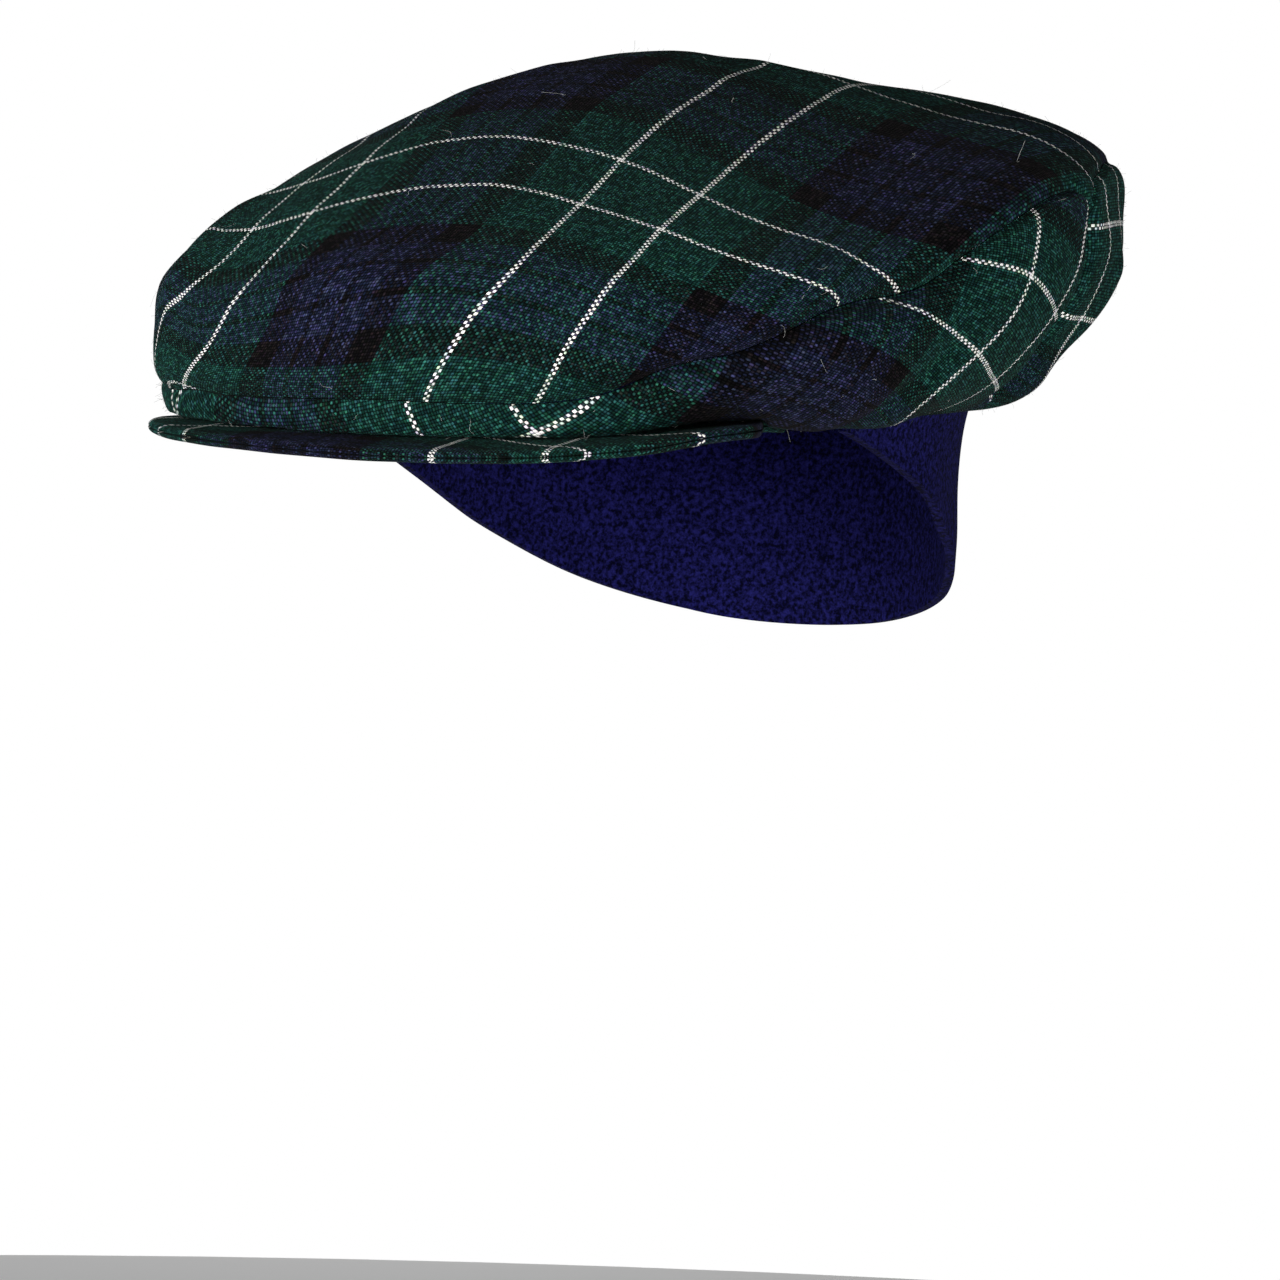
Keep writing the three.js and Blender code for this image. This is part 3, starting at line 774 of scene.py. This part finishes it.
def peak_face(depth):
    """A face of the peak, by angle round its own oval and share of the way from rim to edge."""
    angle = np.linspace(-PEAK_END, PEAK_END, PEAK_COLUMNS + 1)[:, None]
    share = 1 - (1 - np.linspace(0, 1, PEAK_ROWS + 1)[None, :]) ** 2
    turn = np.radians(angle)
    edge_x = PEAK[0] * np.sin(turn)
    edge_y = -PEAK[1] * np.cos(turn) - PEAK_FORWARD
    inner_turn = np.arctan2(edge_x / OPENING[0], -edge_y / OPENING[1])
    inner_x = OPENING[0] * np.sin(inner_turn)
    inner_y = -OPENING[1] * np.cos(inner_turn)
    narrow = tip(angle)
    reach = share * (1 - TIP_NARROW * narrow)
    rim_z = TIP_LIFT * narrow - PEAK_BELOW_RIM
    edge_z = TIP_LIFT * narrow - on_ring(PEAK_EDGE, 1, angle)
    x = inner_x + (edge_x - inner_x) * reach
    y = inner_y + (edge_y - inner_y) * reach
    z = rim_z + (edge_z - rim_z) * share - depth
    return x, y, z


# The outer face of each cloth: how deep it lies and which way its edge curls
for name, node, depth, roll in (
    ("peak_upper_cloth", "peak_upper", 0, 1),
    ("peak_under_cloth", "peak_under", 2 * CLOTH + GAP, -1),
):
    x, y, z = peak_face(depth)
    width = np.hypot(x[:, -1:] - x, y[:, -1:] - y)
    curl = np.clip(1 - width / PEAK_ROLL_WIDTH, 0, 1)
    z = z - roll * PEAK_EDGE_ROLL * (1 - np.sqrt(1 - curl**2))
    z = z + ripple(np.stack([x, y, np.zeros_like(x) + roll], -1), *PEAK_WAVES)
    # The cloth runs on over the curl, so its pattern is longer than the peak is broad there.
    steps = np.sqrt(np.diff(x) ** 2 + np.diff(y) ** 2 + np.diff(z) ** 2)
    flat = np.hypot(np.diff(x), np.diff(y))
    longer = np.concatenate([np.zeros((len(x), 1)), np.cumsum(steps - flat, axis=1)], axis=1)
    ahead = np.stack([x[:, -1:] - x[:, :1], y[:, -1:] - y[:, :1]], -1)
    ahead = ahead / np.linalg.norm(ahead, axis=-1, keepdims=True)
    on_curl = np.where(width < PEAK_ROLL_WIDTH, longer - longer[:, -1:], 0)
    # Pulled tight round the edge, the cloth shows its stripes closer together there.
    bent = PEAK_LINE_BEND * np.clip((PEAK_BEND_START - x) / PEAK_BEND_LENGTH, 0, 1)
    past_line = y - PEAK_LINE_DOWN - bent
    y_drawn = past_line * np.where(past_line > 0, PEAK_STRETCH, PEAK_FRONT_STRETCH)
    pattern = np.stack([
        (x + ahead[..., 0] * on_curl - PEAK_LINE_ACROSS) / THREAD + WHITE_LINE,
        (y_drawn + ahead[..., 1] * on_curl) / THREAD + WHITE_LINE,
    ], -1)
    piece = cloth(name, np.stack([x, y, z], -1), pattern, CLOTH)
    piece.data.materials.append(wool)
    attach(piece, "root")
    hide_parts(node)

# Ear flap
# A soft band of navy fleece sewn inside the rim, from one temple round the neck to the
# other, hanging below the crown.
FLEECE = 2.6
FLAP_EDGE = np.array([
    # turn, height of the lower edge
    (73, -1.5), (80, -5), (94, -13), (110, -25), (130, -38), (150, -46), (180, -50),
    (210, -46), (230, -38), (250, -25), (266, -13), (280, -5), (287, -1.5),
])
FLAP_ABOVE_RIM = 3
FLAP_INSIDE = 0.9
FLAP_TAPER = 4.6
FLAP_TAPER_RATE = 6
FLAP_TURN_LENGTH = 1.6
FLAP_WAVES = (24, 1.6)
FLAP_COLUMNS = 300
FLAP_ROWS = 44
flap_turns = np.linspace(FLAP_EDGE[0, 0], FLAP_EDGE[-1, 0], FLAP_COLUMNS + 1)
turn = flap_turns[:, None] * np.ones(FLAP_ROWS + 1)
share = np.linspace(0, 1, FLAP_ROWS + 1)[None, :] * np.ones((FLAP_COLUMNS + 1, 1))
top = on_ring(SECTIONS, RIM, turn) + FLAP_ABOVE_RIM
bottom = on_ring(FLAP_EDGE, 1, turn)
height = top + (bottom - top) * share
inwards = FLAP_INSIDE + FLAP_TAPER * (1 - np.exp(-FLAP_TAPER_RATE * share))
flap_points = np.stack([
    (OPENING[0] - inwards) * np.sin(np.radians(turn)),
    -(OPENING[1] - inwards) * np.cos(np.radians(turn)),
    height,
], -1)
outward = flap_points * (1, 1, 0) / np.linalg.norm(flap_points[..., :2], axis=-1, keepdims=True)
flap_points -= outward * (ripple(flap_points, *FLAP_WAVES) * share)[..., None]
flap_pattern = np.stack([turn * FLAP_TURN_LENGTH, height], -1)
flap = cloth("ear_flap_fleece", flap_points, flap_pattern, FLEECE)

fleece = bpy.data.materials.new("navy_fleece")
fleece.use_nodes = True
nodes = fleece.node_tree.nodes
shader = nodes["Principled BSDF"]
shader.inputs["Roughness"].default_value = 0.95
shader.inputs["Specular IOR Level"].default_value = 0.02
shader.inputs["Sheen Weight"].default_value = 0.01
shader.inputs["Sheen Roughness"].default_value = 0.5
place = nodes.new("ShaderNodeTexCoord")
nap = nodes.new("ShaderNodeTexNoise")
nap.inputs["Scale"].default_value = 800
nap.inputs["Detail"].default_value = 5
nap.inputs["Roughness"].default_value = 0.7
link(nodes, place.outputs["Object"], nap.inputs["Vector"])
nap_colour = nodes.new("ShaderNodeValToRGB")
nap_colour.color_ramp.elements[0].position = 0.42
nap_colour.color_ramp.elements[0].color = (0.0008, 0.0008, 0.008, 1)
nap_colour.color_ramp.elements[1].position = 0.66
nap_colour.color_ramp.elements[1].color = (0.011, 0.011, 0.095, 1)
link(nodes, nap.outputs[0], nap_colour.inputs[0])
link(nodes, nap_colour.outputs[0], shader.inputs["Base Color"])
nap_bump = nodes.new("ShaderNodeBump")
nap_bump.inputs["Strength"].default_value = 0.6
nap_bump.inputs["Distance"].default_value = 0.0006
link(nodes, nap.outputs[0], nap_bump.inputs["Height"])
link(nodes, nap_bump.outputs[0], shader.inputs["Normal"])
flap.data.materials.append(fleece)
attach(flap, "root")
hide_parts("ear_flap")

# Loose fibres
# The wool sheds: a short dark nap stands off the cloth, and a few long pale hairs have worked
# out of it and lie curled on it or hang from the rim. Each is a thin strand fixed in the cloth.
HAIR_RADIUS = 0.03
HAIR_LENGTHS = (1.2, 4.4)
HAIR_POINTS = 8
NAP_RADIUS = 0.02
NAP_LENGTHS = (0.3, 0.9)
NAP_POINTS = 3
CURL = 0.45
HAIR_LIFT = 0.25
HEM_COLUMNS = slice(60, -60, 3)
HEM_ROW = -14
HEM_SPREAD = 0.3
NAP_SPREAD = 0.6
HAIRS = 170
RIM_HAIRS = 26
NAP = 5200
chance = np.random.default_rng(11)


def strands(name, roots, ways, lengths, radius, points):
    """Thin curved strands in mm from their roots, joined in one mesh."""
    curve = bpy.data.curves.new(name, "CURVE")
    curve.dimensions = "3D"
    curve.bevel_depth = radius / 1000
    curve.bevel_resolution = 0
    curve.use_fill_caps = True
    share = np.linspace(0, 1, points)[:, None]
    curls = chance.normal(0, CURL, (len(roots), 2, 3))
    for root, way, length, (curl, twist) in zip(roots, ways, lengths, curls):
        bent = way * share + curl * share**2 + twist * np.sin(4 * share) * share / 2
        path = root + length * bent
        spline = curve.splines.new("POLY")
        spline.points.add(points - 1)
        spline.points.foreach_set("co", np.hstack([path / 1000, np.ones_like(share)]).ravel())
    piece = bpy.data.objects.new(name, curve)
    scene.collection.objects.link(piece)
    bpy.ops.object.select_all(action="DESELECT")
    piece.select_set(True)
    bpy.context.view_layer.objects.active = piece
    bpy.ops.object.convert(target="MESH")
    return bpy.context.active_object


def fibre(name, pale):
    """Dull hair whose colour changes a little from strand to strand."""
    material = bpy.data.materials.new(name)
    material.use_nodes = True
    nodes = material.node_tree.nodes
    shader = nodes["Principled BSDF"]
    shader.inputs["Roughness"].default_value = 0.7
    shader.inputs["Specular IOR Level"].default_value = 0.1
    place = nodes.new("ShaderNodeTexCoord")
    patches = nodes.new("ShaderNodeTexNoise")
    patches.inputs["Scale"].default_value = 260
    link(nodes, place.outputs["Object"], patches.inputs["Vector"])
    shades = nodes.new("ShaderNodeValToRGB")
    shades.color_ramp.elements[0].position = 0.35
    shades.color_ramp.elements[0].color = tuple(part * 0.4 for part in pale) + (1,)
    shades.color_ramp.elements[1].position = 0.65
    shades.color_ramp.elements[1].color = pale + (1,)
    link(nodes, patches.outputs[0], shades.inputs[0])
    link(nodes, shades.outputs[0], shader.inputs["Base Color"])
    return material


# The three faces of the crown, the outward directions there and their share of the strands
TOP_SHARE = 0.5
faces = [
    (top_points, top_out, TOP_SHARE),
    (front_points, front_out, 0.3),
    (back_points, back_out, 0.2),
]


def scattered(count):
    """Roots on the crown's cloth and the outward directions there."""
    roots = []
    outs = []
    for points, out, part in faces:
        column = chance.integers(2, points.shape[0] - 2, int(count * part))
        row = chance.integers(2, points.shape[1] - 2, int(count * part))
        # Columns crowd at the apex, so fewer strands are kept there.
        kept = chance.random(len(row)) < np.where(part == TOP_SHARE, row / points.shape[1], 1)
        roots.append(points[column, row][kept])
        outs.append(out[column, row][kept])
    return np.concatenate(roots), np.concatenate(outs)


roots, outs = scattered(HAIRS)
sideways = chance.normal(size=roots.shape)
sideways -= outs * (sideways * outs).sum(-1, keepdims=True)
ways = sideways / np.linalg.norm(sideways, axis=-1, keepdims=True) + outs * HAIR_LIFT
hem = front_points[HEM_COLUMNS, HEM_ROW]
hem = hem[chance.integers(0, len(hem), RIM_HAIRS)]
roots = np.concatenate([roots, hem])
ways = np.concatenate([ways, (0, 0, -1) + chance.normal(0, HEM_SPREAD, hem.shape)])
lengths = chance.uniform(*HAIR_LENGTHS, len(roots))
hairs = strands("loose_hairs", roots, ways, lengths, HAIR_RADIUS, HAIR_POINTS)
hairs.data.materials.append(fibre("pale_hair", (0.55, 0.56, 0.53)))

roots, outs = scattered(NAP)
ways = outs + chance.normal(0, NAP_SPREAD, outs.shape)
lengths = chance.uniform(*NAP_LENGTHS, len(roots))
nap_hairs = strands("wool_nap", roots, ways, lengths, NAP_RADIUS, NAP_POINTS)
nap_hairs.data.materials.append(fibre("dark_nap", (0.035, 0.05, 0.05)))
for piece in (hairs, nap_hairs):
    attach(piece, "root")

# Floor and light
# A plain pale floor lies well below the cap, in soft light from a white room and large lamps.
FLOOR_RADIUS = 0.9
FLOOR_HEIGHT = -0.32
SIDES_BRIGHTNESS = 0.1
OVERHEAD_BRIGHTNESS = 0.02
LAMPS = [
    # name, place in metres, size, watts
    ("front_lamp", (-0.75, -1.5, 0.2), 0.9, 38),
    ("side_lamp", (1.4, -0.8, -0.3), 0.8, 30),
    ("back_lamp", (-0.9, 1.4, 0.0), 0.9, 7),
]
bpy.ops.object.select_all(action="DESELECT")
bpy.ops.mesh.primitive_circle_add(
    vertices=96, radius=FLOOR_RADIUS, fill_type="NGON", location=(0, 0, FLOOR_HEIGHT)
)
floor = bpy.context.active_object
floor.name = "floor"
pale = bpy.data.materials.new("pale_floor")
pale.use_nodes = True
shader = pale.node_tree.nodes["Principled BSDF"]
shader.inputs["Base Color"].default_value = (0.82, 0.82, 0.82, 1)
shader.inputs["Roughness"].default_value = 0.8
floor.data.materials.append(pale)

# The room is bright round the sides and dim overhead; the camera sees it plain white.
world = bpy.data.worlds.new("white_room")
scene.world = world
world.use_nodes = True
nodes = world.node_tree.nodes
room = nodes["Background"]
direction = nodes.new("ShaderNodeTexCoord")
parts = nodes.new("ShaderNodeSeparateXYZ")
link(nodes, direction.outputs["Generated"], parts.inputs[0])
bright = nodes.new("ShaderNodeMapRange")
bright.interpolation_type = "SMOOTHSTEP"
link(nodes, maths(nodes, "ABSOLUTE", parts.outputs["Z"]), bright.inputs["Value"])
bright.inputs["From Min"].default_value = 0.1
bright.inputs["From Max"].default_value = 0.6
bright.inputs["To Min"].default_value = SIDES_BRIGHTNESS
bright.inputs["To Max"].default_value = OVERHEAD_BRIGHTNESS
link(nodes, bright.outputs[0], room.inputs["Strength"])
plain = nodes.new("ShaderNodeBackground")
plain.inputs["Strength"].default_value = 1.0
rays = nodes.new("ShaderNodeLightPath")
seen = nodes.new("ShaderNodeMixShader")
link(nodes, rays.outputs["Is Camera Ray"], seen.inputs[0])
link(nodes, room.outputs[0], seen.inputs[1])
link(nodes, plain.outputs[0], seen.inputs[2])
link(nodes, seen.outputs[0], nodes["World Output"].inputs["Surface"])
room.inputs["Color"].default_value = (1, 1, 1, 1)
plain.inputs["Color"].default_value = (1, 1, 1, 1)
for name, place, size, power in LAMPS:
    lamp_data = bpy.data.lights.new(name, "AREA")
    lamp_data.size = size
    lamp_data.energy = power
    lamp = bpy.data.objects.new(name, lamp_data)
    scene.collection.objects.link(lamp)
    lamp.matrix_world = Matrix.LocRotScale(
        Vector(place), Vector(place).to_track_quat("Z", "Y"), None
    )
